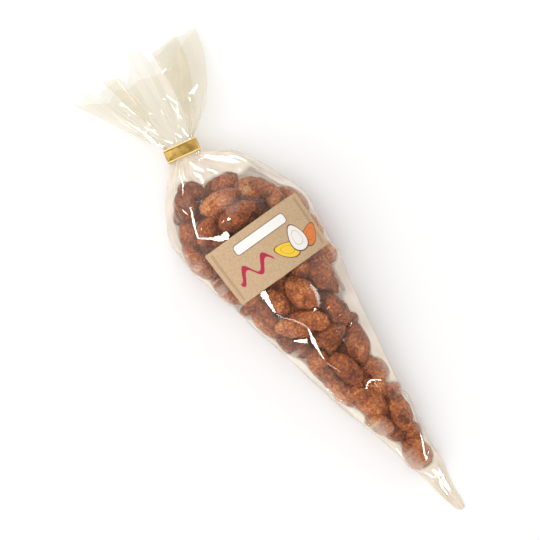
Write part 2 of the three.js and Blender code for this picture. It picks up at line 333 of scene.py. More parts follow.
class Value:
    """A socket. Python's operators on it add Math nodes to its tree."""

    def __init__(self, tree, socket):
        self.tree = tree
        self.socket = socket

    def math(self, operation, *others):
        return self.tree.node("ShaderNodeMath", {"operation": operation}, self, *others)

    def __add__(self, other):
        return self.math("ADD", other)

    def __radd__(self, other):
        return self.math("ADD", other)

    def __sub__(self, other):
        return self.math("SUBTRACT", other)

    def __rsub__(self, other):
        return self.tree.node("ShaderNodeMath", {"operation": "SUBTRACT"}, other, self)

    def __mul__(self, other):
        return self.math("MULTIPLY", other)

    def __rmul__(self, other):
        return self.math("MULTIPLY", other)

    def __truediv__(self, other):
        return self.math("DIVIDE", other)

    def __pow__(self, other):
        return self.math("POWER", other)

    def __abs__(self):
        return self.math("ABSOLUTE")

    def most(self, other):
        return self.math("MAXIMUM", other)

    def sine(self):
        return self.math("SINE")

    def step(self, low, high):
        """0 below low, 1 above high, and smooth between them."""
        settings = {"interpolation_type": "SMOOTHSTEP"}
        return self.tree.node("ShaderNodeMapRange", settings, self, low, high, 0.0, 1.0)


class Tree:
    """A node tree and the one method that adds its nodes."""

    def __init__(self, tree):
        self.tree = tree

    def node(self, kind, settings=None, *inputs, out=0, **named):
        """Adds a node. Settings come first, then its sockets by place or, for named ones, by name."""
        made = self.tree.nodes.new(kind)
        for key, value in (settings or {}).items():
            if key == "stops":
                self.set_stops(made, value)
            else:
                setattr(made, key, value)
        for place, value in enumerate(inputs):
            self.feed(made.inputs[place], value)
        for name, value in named.items():
            self.feed(made.inputs[name.replace("_", " ")], value)
        return Value(self, made.outputs[out]) if made.outputs else made

    def feed(self, socket, value):
        if isinstance(value, Value):
            self.tree.links.new(value.socket, socket)
        else:
            socket.default_value = value

    def set_stops(self, ramp, stops):
        """Stops of a colour ramp as (place, colour)."""
        elements = ramp.color_ramp.elements
        while len(elements) < len(stops):
            elements.new(1.0)
        for element, (place, colour) in zip(elements, stops):
            element.position = place
            element.color = (*colour, 1.0)

    def split(self, vector):
        """The three values of a vector."""
        made = self.node("ShaderNodeSeparateXYZ", None, vector)
        return [Value(self, socket) for socket in made.socket.node.outputs]

    def grain(self, place, scale, detail, roughness=0.5):
        return self.node("ShaderNodeTexNoise", None, place, Scale=scale, Detail=detail, Roughness=roughness)


class Finish(Tree):
    """A material, or the studio's sky, under construction."""

    def __init__(self, block, end="ShaderNodeOutputMaterial"):
        self.block = block
        block.use_nodes = True
        super().__init__(block.node_tree)
        self.tree.nodes.clear()
        self.surface = self.node(end).inputs["Surface"]

    def place(self):
        """The point in the object's own axes, which are the frame's."""
        return self.node("ShaderNodeTexCoord", out="Object")

    def mark(self, name, kind="Fac"):
        """A mark that the piece carries at each of its points."""
        return self.node("ShaderNodeAttribute", {"attribute_name": name}, out=kind)

    def mixed(self, kind, share, first, second):
        first_place, second_place, result = MIX_SOCKETS[kind]
        made = self.node("ShaderNodeMix", {"data_type": kind}, share, out=result)
        sockets = made.socket.node.inputs
        self.feed(sockets[first_place], first)
        self.feed(sockets[second_place], second)
        return made

    def blend(self, share, first, second):
        """Mixes two colours."""
        first, second = (c if isinstance(c, Value) else (*c, 1.0) for c in (first, second))
        return self.mixed("RGBA", share, first, second)

    def bump(self, height, strength, distance):
        return self.node("ShaderNodeBump", Strength=strength, Distance=distance, Height=height)

    def principled(self, **named):
        return self.node("ShaderNodeBsdfPrincipled", **named)

    def done(self, shader):
        """Ends the tree in a shader."""
        self.feed(self.surface, shader)
        return self.block


class Shaper(Tree):
    """A Geometry Nodes tree under construction, with named inputs for its sizes."""

    def __init__(self, name):
        super().__init__(bpy.data.node_groups.new(name, "GeometryNodeTree"))
        for way in ("INPUT", "OUTPUT"):
            self.tree.interface.new_socket("Geometry", in_out=way, socket_type="NodeSocketGeometry")
        self.entry = self.node("NodeGroupInput").socket.node
        self.exit = self.node("NodeGroupOutput").inputs[0]
        self.identifiers = {}

    def input(self, name, kind="NodeSocketFloat"):
        made = self.tree.interface.new_socket(name, in_out="INPUT", socket_type=kind)
        self.identifiers[name] = made.identifier
        return Value(self, self.entry.outputs[name])

    def geometry(self):
        return Value(self, self.entry.outputs["Geometry"])

    def attribute(self, name, kind):
        return self.node("GeometryNodeInputNamedAttribute", {"data_type": kind}, name)

    def bake(self, piece, sizes):
        """Runs the tree on a piece and leaves the result as its plain mesh."""
        modifier = piece.modifiers.new(self.tree.name, "NODES")
        modifier.node_group = self.tree
        for name, value in sizes.items():
            modifier[self.identifiers[name]] = value
        graph = bpy.context.evaluated_depsgraph_get()
        mesh = bpy.data.meshes.new_from_object(piece.evaluated_get(graph))
        piece.modifiers.clear()
        piece.data = mesh
        return piece


def new_piece(name, points, faces):
    """A smooth mesh object in metres from points in millimetres."""
    mesh = bpy.data.meshes.new(name)
    mesh.from_pydata([tuple(p) for p in np.asarray(points) * MM], [], [tuple(f) for f in faces])
    mesh.polygons.foreach_set("use_smooth", [True] * len(mesh.polygons))
    mesh.update()
    piece = bpy.data.objects.new(name, mesh)
    bpy.context.scene.collection.objects.link(piece)
    return piece


def quads(*corners):
    """Faces from four arrays of corners."""
    return np.stack(corners, axis=-1).reshape(-1, 4)


# ---------------------------------------------------------------- almonds: shape and finish
# Browned sugar from its pits to its tops, with painted shade darkening the pits: place on the ramp and
# colour.
CRUST_STOPS = [
    (0.28, (0.15, 0.032, 0.008)),
    (0.42, (0.36, 0.084, 0.018)),
    (0.56, (0.56, 0.15, 0.031)),
    (0.74, (0.9, 0.4, 0.145)),
]
KERNEL_COLOUR = (0.66, 0.4, 0.13)
# Half the width and half the length of a bare spot, as how many times each goes into a metre.
SPOT_SCALES = (260.0, 200.0)
# The shaper's inputs for the mesh of a shown and of a hidden almond.
GRID_INPUTS = (("Segments", "Rings"), ("Hidden segments", "Hidden rings"))


def crust_finish():
    """Browned sugar over roasted almond: pebbly, with painted shade in the pits of its bump and paler tops
    over random mottling, glossy in patches.
    """
    finish = Finish(bpy.data.materials.new("browned_sugar_crust"))
    place = finish.place()
    across, along, _ = finish.split(place)
    broad = finish.grain(place, 110.0, 2.0)
    mottle = finish.grain(place, 480.0, 4.0, 0.7)
    pebbles = finish.node("ShaderNodeTexVoronoi", None, place, Scale=620.0)
    grains = finish.node("ShaderNodeTexVoronoi", None, place, Scale=1500.0)
    tone = finish.mark("tone")
    # The colour follows the bump's height, so the pits of the bump get painted shade and its tops are
    # paler, over random mottling.
    height = (mottle - 0.5) * 1.5 + (0.45 - pebbles) * 0.5 + (0.45 - grains) * 0.35
    shade = 0.5 + height * 0.52 + (broad - 0.5) * 0.6 + (tone - 0.5) * 0.18
    colour = finish.node("ShaderNodeValToRGB", {"stops": CRUST_STOPS}, shade)
    for spot in BARE_SPOTS:
        middle = in_frame(*spot, 0) * MM
        dx = (across - float(middle[0])) * SPOT_SCALES[0]
        dy = (along - float(middle[1])) * SPOT_SCALES[1]
        bare = (1.0 - (dx * dx + dy * dy) ** 0.5 + (mottle - 0.5) * 3.0).step(0.0, 0.7)
        colour = finish.blend(bare * 0.6, colour, KERNEL_COLOUR)
    shader = finish.principled(
        Base_Color=colour,
        Roughness=0.5 - broad.step(0.42, 0.62) * 0.24,
        Specular_IOR_Level=0.4,
        Normal=finish.bump(height, 0.9, 0.0011),
    )
    return finish.done(shader)


def almond_shaper():
    """Grows a crusted almond on every point, with a finer mesh where the point is shown."""
    shaper = Shaper("crusted_almond")
    grids = [[shaper.input(name, "NodeSocketInt") for name in names] for names in GRID_INPUTS]
    taper = shaper.input("Taper")
    lump_depth = shaper.input("Lump depth")
    crag_depth = shaper.input("Crag depth")
    material = shaper.input("Material", "NodeSocketMaterial")
    shown = shaper.attribute("shown", "BOOLEAN")
    hidden = shaper.node("FunctionNodeBooleanMath", {"operation": "NOT"}, shown)
    joined = shaper.node("GeometryNodeJoinGeometry")
    for (segments, rings), wanted in zip(grids, (shown, hidden)):
        kernel = shaper.node("GeometryNodeMeshUVSphere", None, segments, rings, 1.0)
        x, y, height = shaper.split(shaper.node("GeometryNodeInputPosition"))
        narrow = 1.0 - taper * height - 0.1 * height * height
        tapered = shaper.node("ShaderNodeCombineXYZ", None, x * narrow, y * narrow, height)
        kernel = shaper.node("GeometryNodeSetPosition", None, kernel, Position=tapered)
        grown = shaper.node(
            "GeometryNodeInstanceOnPoints",
            None,
            shaper.geometry(),
            Selection=wanted,
            Instance=kernel,
            Rotation=shaper.attribute("facing", "FLOAT_VECTOR"),
            Scale=shaper.attribute("half_size", "FLOAT_VECTOR"),
        )
        shaper.feed(joined.socket.node.inputs[0], grown)
    real = shaper.node("GeometryNodeRealizeInstances", None, joined)
    position = shaper.node("GeometryNodeInputPosition")
    lumps = shaper.grain(position, 150.0, 1.0) - 0.5
    crags = shaper.grain(position, 380.0, 3.0) - 0.5
    rise = lumps * lump_depth + crags * crag_depth
    normal = shaper.node("GeometryNodeInputNormal")
    offset = shaper.node("ShaderNodeVectorMath", {"operation": "SCALE"}, normal, Scale=rise)
    real = shaper.node("GeometryNodeSetPosition", None, real, Offset=offset)
    real = shaper.node("GeometryNodeSetShadeSmooth", None, real)
    real = shaper.node("GeometryNodeSetMaterial", None, real, Material=material)
    shaper.feed(shaper.exit, real)
    return shaper


def make_almonds(centres, axes, halves, shown_count, finish):
    """All almonds as one mesh of closed crusted bodies."""
    piece = new_piece("almonds", centres, [])
    facing = []
    for rows in axes:
        turn = Matrix((rows[1], rows[2], rows[0])).transposed().to_euler()
        facing.extend(turn[:])
    count = len(centres)
    tones = np.random.default_rng(SEED + 2).uniform(0, 1, count)
    marks = (
        ("shown", "BOOLEAN", "value", [n < shown_count for n in range(count)]),
        ("facing", "FLOAT_VECTOR", "vector", facing),
        ("half_size", "FLOAT_VECTOR", "vector", (halves[:, [1, 2, 0]] * MM).ravel()),
        ("tone", "FLOAT", "value", tones),
    )
    for mark, kind, field, values in marks:
        piece.data.attributes.new(mark, kind, "POINT").data.foreach_set(field, values)
    sizes = {"Taper": 0.13, "Lump depth": 2.7 * MM, "Crag depth": 2.2 * MM, "Material": finish}
    for names, grid in zip(GRID_INPUTS, (SHOWN_GRID, HIDDEN_GRID)):
        sizes.update(zip(names, grid))
    return almond_shaper().bake(piece, sizes)


# ---------------------------------------------------------------- film: the sheet round the bag
FILM_COLUMNS = 300
UPPER_CROWDING = 1.7
ROW_STEP = 1.05
FIRST_ROWS = [0.6, 1.5, 3.0]
STEADY_ROWS = 4.0
PLANE_END = 283.0
NECK_ROWS = 14
# Sections are cut from a middle at this share of the bag's height, by rays from beside and all round it.
SECTION_LEVEL = 0.4
SECTION_RAYS = 240
BESIDE_BAG = 120
ROUND_BAG = 150
# Neck inside the band: half its width and height, its pleats and their share of its size. The film
# runs square to the band this far from the band's middle.
NECK_HALF = (10.2, 2.1)
NECK_PLEATS = 26
NECK_PLEAT_SHARE = 0.1
BAND_REACH = 6.0
BAND_MIDDLE = sum(box_of("tie")) / 2
# Gap between film and crusts, how near the label film counts as lying under it, and where along the bag.
FILM_CLEARANCE = 0.35
LABEL_REACH = 1.35
LABEL_ROOM = (190, 246)
# Taut film: how far from its side edges it begins and is full, where it begins and is full past the
# tail, where it fades and ends before the neck, and its rounds of softening.
TAUT_SIDES = (0.5, 9.0)
TAUT_START = (24.0, 29)
TAUT_END = (262, 281)
TAUT_ROUNDS = 3
TAUT_HEIGHT = 0.2
FILM_HEIGHT = 0.25


def softened(values):
    """Values at rows of points, evened out once with their neighbours'."""
    soft = (np.roll(values, 1, 1) + np.roll(values, -1, 1) + 2 * values) / 4
    soft[1:-1] = (soft[:-2] + soft[2:] + 2 * soft[1:-1]) / 4
    return soft


def softened_loop(loop):
    return (np.roll(loop, 1, 0) + 2 * loop + np.roll(loop, -1, 0)) / 4


def running_length(steps):
    """Distance along a line at each of its points, from the lengths of its steps."""
    return np.concatenate([[0], np.cumsum(steps)])


def steps_of(line):
    return np.linalg.norm(np.diff(line, axis=0), axis=1)


def points_at(line, length, wanted):
    """Points of a line at the wanted distances along it."""
    return np.stack([np.interp(wanted, length, line[:, k]) for k in range(3)], axis=1)


def even_loop(loop, count, level):
    """Points round a closed loop from its first point, evenly spaced and closer together on top."""
    closed = np.vstack([loop, loop[:1]])
    upper = (closed[1:, 2] + closed[:-1, 2]) / 2 > level
    length = running_length(steps_of(closed) * np.where(upper, UPPER_CROWDING, 1.0))
    return points_at(closed, length, np.linspace(0, length[-1], count, endpoint=False))


def body_ring(along):
    """Section of the bag's surface at a place along it, from its lowest middle point round to the right."""
    place = in_frame(0, along, 0)
    top = outside.hit((place[0], place[1], ABOVE_BAG), DOWN)[0][2]
    level = SECTION_LEVEL * top
    sides = []
    for side in (-1, 1):
        start = (place[0] + side * BESIDE_BAG, place[1], level)
        sides.append(outside.hit(start, (-side, 0, 0))[0][0])
    middle = np.array([sum(sides) / 2, place[1], level])
    loop = []
    for k in range(SECTION_RAYS):
        angle = -math.pi / 2 + 2 * math.pi * k / SECTION_RAYS
        direction = np.array([math.cos(angle), 0, math.sin(angle)])
        found = outside.hit(middle + direction * ROUND_BAG, -direction)
        loop.append(found[0] if found else middle)
    return even_loop(softened_loop(np.array(loop)), FILM_COLUMNS, level)


def on_band(across, along, up):
    """Points from their places across, along and above the middle of the slanted band."""
    cos, sin = math.cos(BAND_SLANT), math.sin(BAND_SLANT)
    turned = np.broadcast_arrays(across * cos + along * sin, along * cos - across * sin, up)
    return BAND_MIDDLE + np.stack(turned, axis=-1)


def neck_ring(offset, angles):
    """Section of the neck at a distance from the band's middle, square to the slanted band."""
    pleats = 1 + NECK_PLEAT_SHARE * np.cos(NECK_PLEATS * angles)
    across = NECK_HALF[0] * np.cos(angles) * pleats
    up = NECK_HALF[1] * np.sin(angles) * pleats
    return on_band(across, offset, up)


def film_before(angles):
    """Rows of film from the tip to the band, as an array of points, and their places along the bag."""
    places = FIRST_ROWS + list(np.arange(STEADY_ROWS, PLANE_END + 0.1, ROW_STEP))
    rows = [body_ring(along) for along in places]
    neck = neck_ring(-BAND_REACH, angles)
    start = rows[-1]
    slope = (rows[-1] - rows[-4]) * 1.5
    for k in range(1, NECK_ROWS + 1):
        t = k / NECK_ROWS
        curve = start + slope * t * (1 - t) ** 2 * 2
        rows.append(mix(curve, neck, smoothstep(t, 0, 1)))
        places.append(mix(PLANE_END, NECK_ALONG - BAND_REACH, t))
    return np.array(rows), np.array(places)


def edges_of(film):
    """Columns of the leftmost and rightmost point of each row."""
    return film[..., 0].argmin(1), film[..., 0].argmax(1)


def from_edges(film):
    """Distance of each point from the nearer side edge of its row, along the row."""
    rows, columns, _ = film.shape
    step = np.linalg.norm(np.roll(film, -1, 1) - film, axis=-1)
    length = np.concatenate([np.zeros((rows, 1)), np.cumsum(step, axis=1)], axis=1)
    total = length[:, -1:]
    distance = np.full((rows, columns), np.inf)
    for edge in edges_of(film):
        gap = np.abs(length[:, :-1] - length[np.arange(rows), edge][:, None])
        distance = np.minimum(distance, np.minimum(gap, total - gap))
    return distance


def mesh_points(piece):
    """Points in millimetres and normals of a piece's mesh."""
    points = np.empty(3 * len(piece.data.vertices))
    normals = np.empty(3 * len(piece.data.vertices))
    piece.data.vertices.foreach_get("co", points)
    piece.data.vertex_normals.foreach_get("vector", normals)
    return points.reshape(-1, 3) / MM, normals.reshape(-1, 3)


def label_distance(film, places):
    """Distance of each point of film from the label."""
    label = Surface("label")
    distance = np.full(film.shape[:2], np.inf)
    for r in np.flatnonzero((places > LABEL_ROOM[0]) & (places < LABEL_ROOM[1])):
        distance[r] = [label.tree.find_nearest(Vector(point))[3] for point in film[r]]
    return distance


def taut_tree(corners):
    """The tightest closed surface over points."""
    wrapped = bmesh.new()
    for point in corners:
        wrapped.verts.new(point)
    bmesh.ops.convex_hull(wrapped, input=wrapped.verts)
    tree = BVHTree.FromBMesh(wrapped)
    wrapped.free()
    return tree


def draw_taut(film, places, almonds, distance):
    """Spans the film straight from almond to almond, as taut film lies, with its outline held."""
    points, normals = mesh_points(almonds)
    left, right = edges_of(film)
    rows = np.flatnonzero((places > TAUT_START[0]) & (places < PLANE_END))
    corners = [points + normals * FILM_CLEARANCE, film[distance < LABEL_REACH]]
    corners += [film[rows[-1]], film[rows[0]], film[rows, left[rows]], film[rows, right[rows]]]
    tree = taut_tree(np.vstack(corners))
    share = smoothstep(from_edges(film), *TAUT_SIDES)
    share *= (smoothstep(places, *TAUT_START) * (1 - smoothstep(places, *TAUT_END)))[:, None]
    taut = film.copy()
    for r in rows:
        middle = (film[r, left[r]] + film[r, right[r]]) / 2
        for c in np.flatnonzero(share[r] > 0):
            direction = Vector(film[r, c] - middle).normalized()
            found = tree.ray_cast(Vector(middle), direction)[0]
            if found is not None:
                taut[r, c] = found
    taut = mix(film, taut, share[..., None])
    for _ in range(TAUT_ROUNDS):
        taut = mix(taut, softened(taut), share[..., None])
    taut[..., 2] = np.maximum(taut[..., 2], TAUT_HEIGHT)
    return taut


def outward_of(film):
    """Outward unit normals of rows of film."""
    along = np.gradient(film, axis=0)
    around = (np.roll(film, -1, 1) - np.roll(film, 1, 1)) / 2
    normal = np.cross(along, around)
    return normal / (np.linalg.norm(normal, axis=-1, keepdims=True) + 1e-9)


def raised(film, height):
    """Film moved outwards by a height at each of its points, and kept off the floor."""
    moved = film + outward_of(film) * height[..., None]
    moved[..., 2] = np.maximum(moved[..., 2], FILM_HEIGHT)
    return moved


# ---------------------------------------------------------------- film: where it catches the light

# Panels of light that only show as glints: direction, distance, size and radiance.
PANELS = {
    "bright": ((-0.6, 0.5, 1.0), 1500, (230, 230), 34.0),
    "dim": ((0.5, -0.75, 1.0), 1500, (230, 230), 9.0),
    "soft": ((0.2, 0.8, 0.85), 1400, (1100, 700), 1.3),
}
# Creases on top of the bag: the panel that their narrow flats face, or straight upwards for flats that
# catch no light, and points as across, along, half width.
LONG_CREASE = [
    (-8, 124, 0.1),
    (-9, 128, 0.3),
    (-10.8, 132, 0.3),
    (-11.3, 137, 0.3),
]
LOWER_WEDGE = [
    (-11.3, 137, 0.3),
    (-10.8, 143, 0.6),
    (-10, 147.5, 1.15),
    (-9.5, 151.2, 1.8),
    (-8.4, 155, 1.0),
    (-6.9, 161, 0.3),
]
LABEL_WEDGE = [
    (-17.6, 180.3, 0.3),
    (-17.4, 184, 0.9),
    (-16.8, 190, 1.7),
    (-16, 195.5, 2.6),
]
UPPER_CREASE = [
    (-12, 240.5, 2.7),
    (-15.5, 241, 2.2),
    (-20, 244.5, 0.9),
    (-24, 248, 0.6),
    (-27, 250.5, 0.5),
    (-26, 254, 0.7),
    (-23.3, 260, 1.0),
    (-20.3, 266, 0.7),
    (-18.4, 270.5, 0.2),
]
SHOULDER_CREASE = [
    (4, 291, 0.5),
    (10, 291, 1.0),
    (14, 286, 1.5),
    (18, 282, 1.5),
    (21, 278, 1.5),
    (24, 274, 0.3),
]
CREASES = [
    ("dim", LONG_CREASE),
    ("dim", [(-7, 161, 0.5), (-8.3, 165, 0.6), (-12.5, 172, 0.5), (-16, 176.3, 0.5), (-17.6, 180.3, 0.5)]),
    ("bright", LOWER_WEDGE),
    ("bright", LABEL_WEDGE),
    ("bright", UPPER_CREASE),
    ("bright", [(-20, 160, 0.3), (-16.5, 157, 1.4), (-13.5, 154.5, 1.6), (-12.6, 153, 0.3)]),
    ("bright", [(1, 167, 0.3), (4, 167.2, 0.8), (7, 168.3, 0.5)]),
    ("bright", [(14.6, 144.2, 0.5), (17.5, 145.4, 0.9)]),
    ("bright", [(-1, 105.5, 0.8), (1.5, 107.4, 0.8), (4, 107.4, 0.9), (7, 105.8, 0.8), (9.7, 103, 0.6)]),
    ("bright", [(0.4, 41.5, 0.4), (2, 46, 0.6), (4.5, 50.5, 0.7), (7, 55, 0.5), (8, 59, 0.2)]),
    ("bright", [(0.8, 42.3, 0.4), (4, 45, 0.6), (7.6, 47.2, 0.4)]),
    ("bright", [(-10.3, 61, 0.4), (-10.3, 54, 0.3)]),
    ("bright", [(11.2, 162.4, 0.8), (12.6, 163, 0.6)]),
    ("bright", [(14, 154, 0.8), (14.8, 154.6, 0.6)]),
    ("bright", [(6, 116, 0.4), (6.5, 116.5, 0.3)]),
    ("bright", [(0.5, 28, 0.4), (-2, 21.5, 0.6), (-2.3, 14, 0.4)]),
    ("bright", [(3.4, 31, 0.6), (2.0, 23, 0.5), (1.0, 15, 0.3)]),
    ("bright", [(-5, 36, 0.3), (-3, 30, 0.5), (1, 26, 0.4)]),
    ("bright", SHOULDER_CREASE),
    ("bright", [(22, 281, 0.3), (26, 277, 0.6), (29, 271, 0.2)]),
    ("bright", [(-3, 286, 0.5), (-1, 281, 1.2), (-3, 276, 0.3)]),
    ("bright", [(-11, 292, 0.3), (-13, 285, 0.6), (-18, 279, 0.2)]),
    ("bright", [(5, 283, 0.3), (8, 279, 0.7), (9, 275, 0.2)]),
    ("soft", [(0, 270.5, 0.5), (10, 263, 0.8), (16, 258.5, 0.5)]),
    ("soft", [(7.5, 255, 0.6), (14, 250, 1.0), (21, 243.5, 0.8)]),
    ("soft", [(33, 254.5, 0.5), (37, 248.5, 0.6), (41, 243, 0.6)]),
    ("dim", [(8, 168, 0.6), (11, 172.5, 1.4), (12, 178, 1.2), (11.5, 182, 0.4)]),
    ("soft", [(30, 262, 0.4), (38, 249, 0.5), (44, 238, 0.4)]),
    ("soft", [(24, 206, 0.3), (30, 182, 0.7), (29, 160, 0.6), (27, 140, 0.3)]),
    ("soft", [(-22, 120, 0.3), (-19, 104, 0.6), (-14, 84, 0.4)]),
    ("dim", [(-9, 295, 1.0), (-9.5, 289, 3.0), (-7.5, 283, 1.5)]),
    ("dim", [(-1, 294, 1.0), (0, 288, 1.6), (3, 283, 0.6)]),
    ("dim", [(0, 34, 1.0), (1.5, 27, 2.4), (0.5, 20, 1.6), (0.5, 14, 0.6)]),
    ("upwards", [(-20, 253.4, 1.8), (-5, 250.6, 1.8)]),
    ("upwards", [(5, 98, 1.4), (6, 56, 1.4)]),
    ("upwards", [(6.5, 131, 1.2), (5.2, 109.5, 1.2)]),
    ("upwards", [(2.5, 77, 1.2), (3.4, 53, 1.2)]),
]
RUFFLE_CREASES = [
    ("bright", [(13, 356.4, 0.6), (16, 355.4, 0.3)]),
    ("bright", [(22, 353.5, 0.9), (25, 353, 0.4)]),
    ("bright", [(26.5, 331, 0.2), (30, 330, 1.5), (34, 331.5, 0.9)]),
    ("bright", [(11, 340, 0.2), (13, 332, 0.2), (13, 320, 0.1)]),
    ("bright", [(14, 340, 0.5), (17, 330, 0.2), (8, 318, 0.1)]),
    ("bright", [(-17, 341, 0.1), (-13, 328, 0.2), (-12.5, 318, 0.2)]),
    ("bright", [(-14, 334, 0.1), (-11, 322, 0.3), (-11, 314, 0.2)]),
    ("bright", [(-11, 317, 0.5), (-8, 313.5, 0.2)]),
    ("bright", [(-5, 316, 0.3), (-2, 311.5, 0.6)]),
    ("bright", [(3, 316, 0.1), (5, 311, 0.5)]),
    ("bright", [(9, 315, 0.2), (9, 309, 0.5)]),
    ("bright", [(-2, 336, 0.4), (0, 335, 0.2)]),
]
# How much of its width each crease keeps, the width over which it fades, its height, and how upright
# the film has to lie to show it.
CREASE_WIDTH = 0.9
CREASE_FALL = 0.6
CREASE_HEIGHT = 0.12
CREASE_UPRIGHT = 0.2
# The place that the lamps are aimed at.
BAG_MIDDLE = in_frame(0, 200, 20)


def unit(vectors):
    return vectors / np.linalg.norm(vectors, axis=-1, keepdims=True)


def facing_panel(film, panel):
    """Normals halfway between straight up to the viewer and the panel."""
    towards, distance = PANELS[panel][:2]
    panel_place = BAG_MIDDLE + unit(np.array(towards)) * distance
    return unit(unit(in_frame(*PICTURE_CENTRE, CAMERA_HEIGHT) - film) + unit(panel_place - film))


def lay_creases(film, creases):
    """Raises each crease a little. Also gives where the creases are and which way their flats face."""
    outward = outward_of(film)
    place = film[..., :2] - TIP[:2]
    crease = np.zeros(film.shape[:2])
    turned = facing_panel(film, "bright")
    facings = {panel: facing_panel(film, panel) for panel in PANELS}
    facings["upwards"] = np.broadcast_to([0.0, 0.0, 1.0], film.shape)
    for panel, line in creases:
        line = np.array(line, float)
        for first, last in zip(line[:-1], line[1:]):
            run = last[:2] - first[:2]
            travel = np.clip((place - first[:2]) @ run / (run @ run), 0, 1)
            gap = np.linalg.norm(place - first[:2] - travel[..., None] * run, axis=-1)
            half = CREASE_WIDTH * mix(first[2], last[2], travel)
            share = np.clip(1 - (gap - half) / CREASE_FALL, 0, 1) * (outward[..., 2] > CREASE_UPRIGHT)
            turned = np.where((share > crease)[..., None], facings[panel], turned)
            crease = np.maximum(crease, share)
    return film + outward * (CREASE_HEIGHT * crease)[..., None], {"crease": crease, "turned": turned}


def crust_tree(almonds):
    """The almonds' crusts, for rays and nearest places in millimetres."""
    points = [v.co / MM for v in almonds.data.vertices]
    return BVHTree.FromPolygons(points, [tuple(p.vertices) for p in almonds.data.polygons])


# The slack mark sets how milky the film is, and the milkiness is partly painted light that brightens the
# margins, the neck and the tail over shaded floor.
# Slack film: how far from the side edges it counts as bare margin, where the tail's and the neck's
# begin and are full, the tail's share, and its rounds of softening.
MARGIN = (13, 20)
NECK_SLACK = (262, 272)
TAIL_SLACK = (32, 42)
TAIL_SHARE = 0.6
SLACK_ROUNDS = 7
SLACK_STEP = (0.2, 0.8)
# Film steeper than this is taut: how upright it faces, and how much of the slack it loses.
STEEP = (0.2, 0.5)
STEEP_LOSS = 0.85
# Pale veil of painted light over the outer almonds, on the left and on the right: its strength, and how far
# from the side edge it begins to fade and ends. The two meet over this distance from the middle.
LEFT_VEIL = (0.55, 7, 20)
RIGHT_VEIL = (0.4, 5, 15)
VEIL_MEETING = 6


def milky_and_painted_light_share(film, places, crusts):
    """1 where film hangs free in the side margins, the neck and the tail, and 0 over the almonds.

    The steep side walls are taut, so they count as little slack. The outer almonds lie under a thin veil,
    wider on the left. The share sets how milky the film is, partly painted light that brightens film over
    shaded floor and paints a pale veil over the outer almonds.
    """
    facing = outward_of(film)[..., 2]
    bare = np.zeros(film.shape[:2])
    for (r, c), up in np.ndenumerate(facing):
        bare[r, c] = crusts.ray_cast(Vector(film[r, c]), (0, 0, -math.copysign(1, up)))[0] is None
    edge = from_edges(film)
    ends = np.maximum(smoothstep(places, *NECK_SLACK), TAIL_SHARE * (1 - smoothstep(places, *TAIL_SLACK)))
    bare *= np.maximum(1 - smoothstep(edge, *MARGIN), ends[:, None])
    for _ in range(SLACK_ROUNDS):
        bare = softened(bare)
    middle = (film[..., 0].min(1) + film[..., 0].max(1)) / 2
    rightward = smoothstep(film[..., 0] - middle[:, None], -VEIL_MEETING, VEIL_MEETING)
    veils = [share * (1 - smoothstep(edge, first, last)) for share, first, last in (LEFT_VEIL, RIGHT_VEIL)]
    slack = np.maximum(smoothstep(bare, *SLACK_STEP), mix(*veils, rightward))
    return slack * (1 - STEEP_LOSS * (1 - smoothstep(np.abs(facing), *STEEP)))


# Folds below the band: how many round the bag, their height, and where along the bag they start,
# are deepest and are pinched flat again.
PLEATS = [
    (5, 1.5, 256, 276, 290),
    (9, 0.9, 262, 283, 296),
    (16, 0.5, 270, 290, 298),
]


def pleat(film, places):
    """Soft folds that run down from the band and fade over the shoulders."""
    draw = np.random.default_rng(SEED + 3)
    column = np.linspace(0, 2 * math.pi, film.shape[1], endpoint=False)
    wander = 0.25 * np.sin(3 * column + 1.0)
    depth = np.zeros(film.shape[:2])
    for count, size, first, full, last in PLEATS:
        phase = draw.uniform(0, 6)
        strength = smoothstep(places, first, full) * (1 - smoothstep(places, full, last + 4) * 0.75)
        wave = np.sin(count * (column + wander) + phase + 0.6 * np.sin(2 * column + phase))
        depth += size * strength[:, None] * wave
    return raised(film, depth)


def facets(film, row_step, column_step, depth, seed):
    """Breaks smooth film into flat panels with creases between them."""
    rows, columns, _ = film.shape
    draw = np.random.default_rng(seed)
    down = rows // row_step + 2
    across = columns // column_step
    lift = draw.normal(size=(down, across))
    shift = draw.uniform(-0.35, 0.35, size=across)
    column = (np.arange(columns) / columns * across)[None, :]
    row = np.arange(rows)[:, None] / row_step
    column = (column + np.interp(row, np.arange(down), draw.uniform(-0.5, 0.5, down))) % across
    first = column.astype(int) % across
    row = np.clip(row + shift[first], 0, down - 1.001)
    level = row.astype(int)
    t = row - level
    s = column - np.floor(column)
    after = (first + 1) % across
    here = lift[level, first]
    beside = lift[level, after]
    above = lift[level + 1, first]
    across_from = lift[level + 1, after]
    near_half = here + (beside - here) * s + (above - here) * t
    far_half = across_from + (above - across_from) * (1 - s) + (beside - across_from) * (1 - t)
    return raised(film, np.where(s + t < 1, near_half, far_half) * depth)


# ---------------------------------------------------------------- film: ruffle above the band

# Mouth of the ruffle at each fold, round the whole loop: from the middle of the lower layer to the
# right, over the top to the left, and back below. Each is across, along and up.
MOUTH = [
    (4, 357.5, 3),
    (13, 354, 6),
    (20, 352.5, 2),
    (27, 350, 5),
    (38, 356, 1.5),
    (49, 360, 4),
    (57.5, 362.5, 3),
    (24, 366.5, 15),
    (44, 365, 11),
    (19.5, 362.5, 7),
    (17.5, 373.5, 22),
    (11, 374.5, 27),
    (2, 362.5, 20),
    (-1.5, 360, 10),
    (-4.5, 368, 18),
    (-14, 371.5, 24),
    (-4, 366, 15),
    (-21, 367, 12),
    (-19, 360, 7),
    (-26, 371.5, 14),
    (-29, 370, 16),
    (-38.5, 372, 3),
    (-31, 366, 1.5),
    (-24, 361, 5),
    (-19, 357, 1.5),
    (-10, 362, 6),
    (-3, 357, 1.2),
]
RIGHT_FOLD = 6
LEFT_FOLD = 21
RUFFLE_ROWS = 60
RUFFLE_COLUMNS = 480


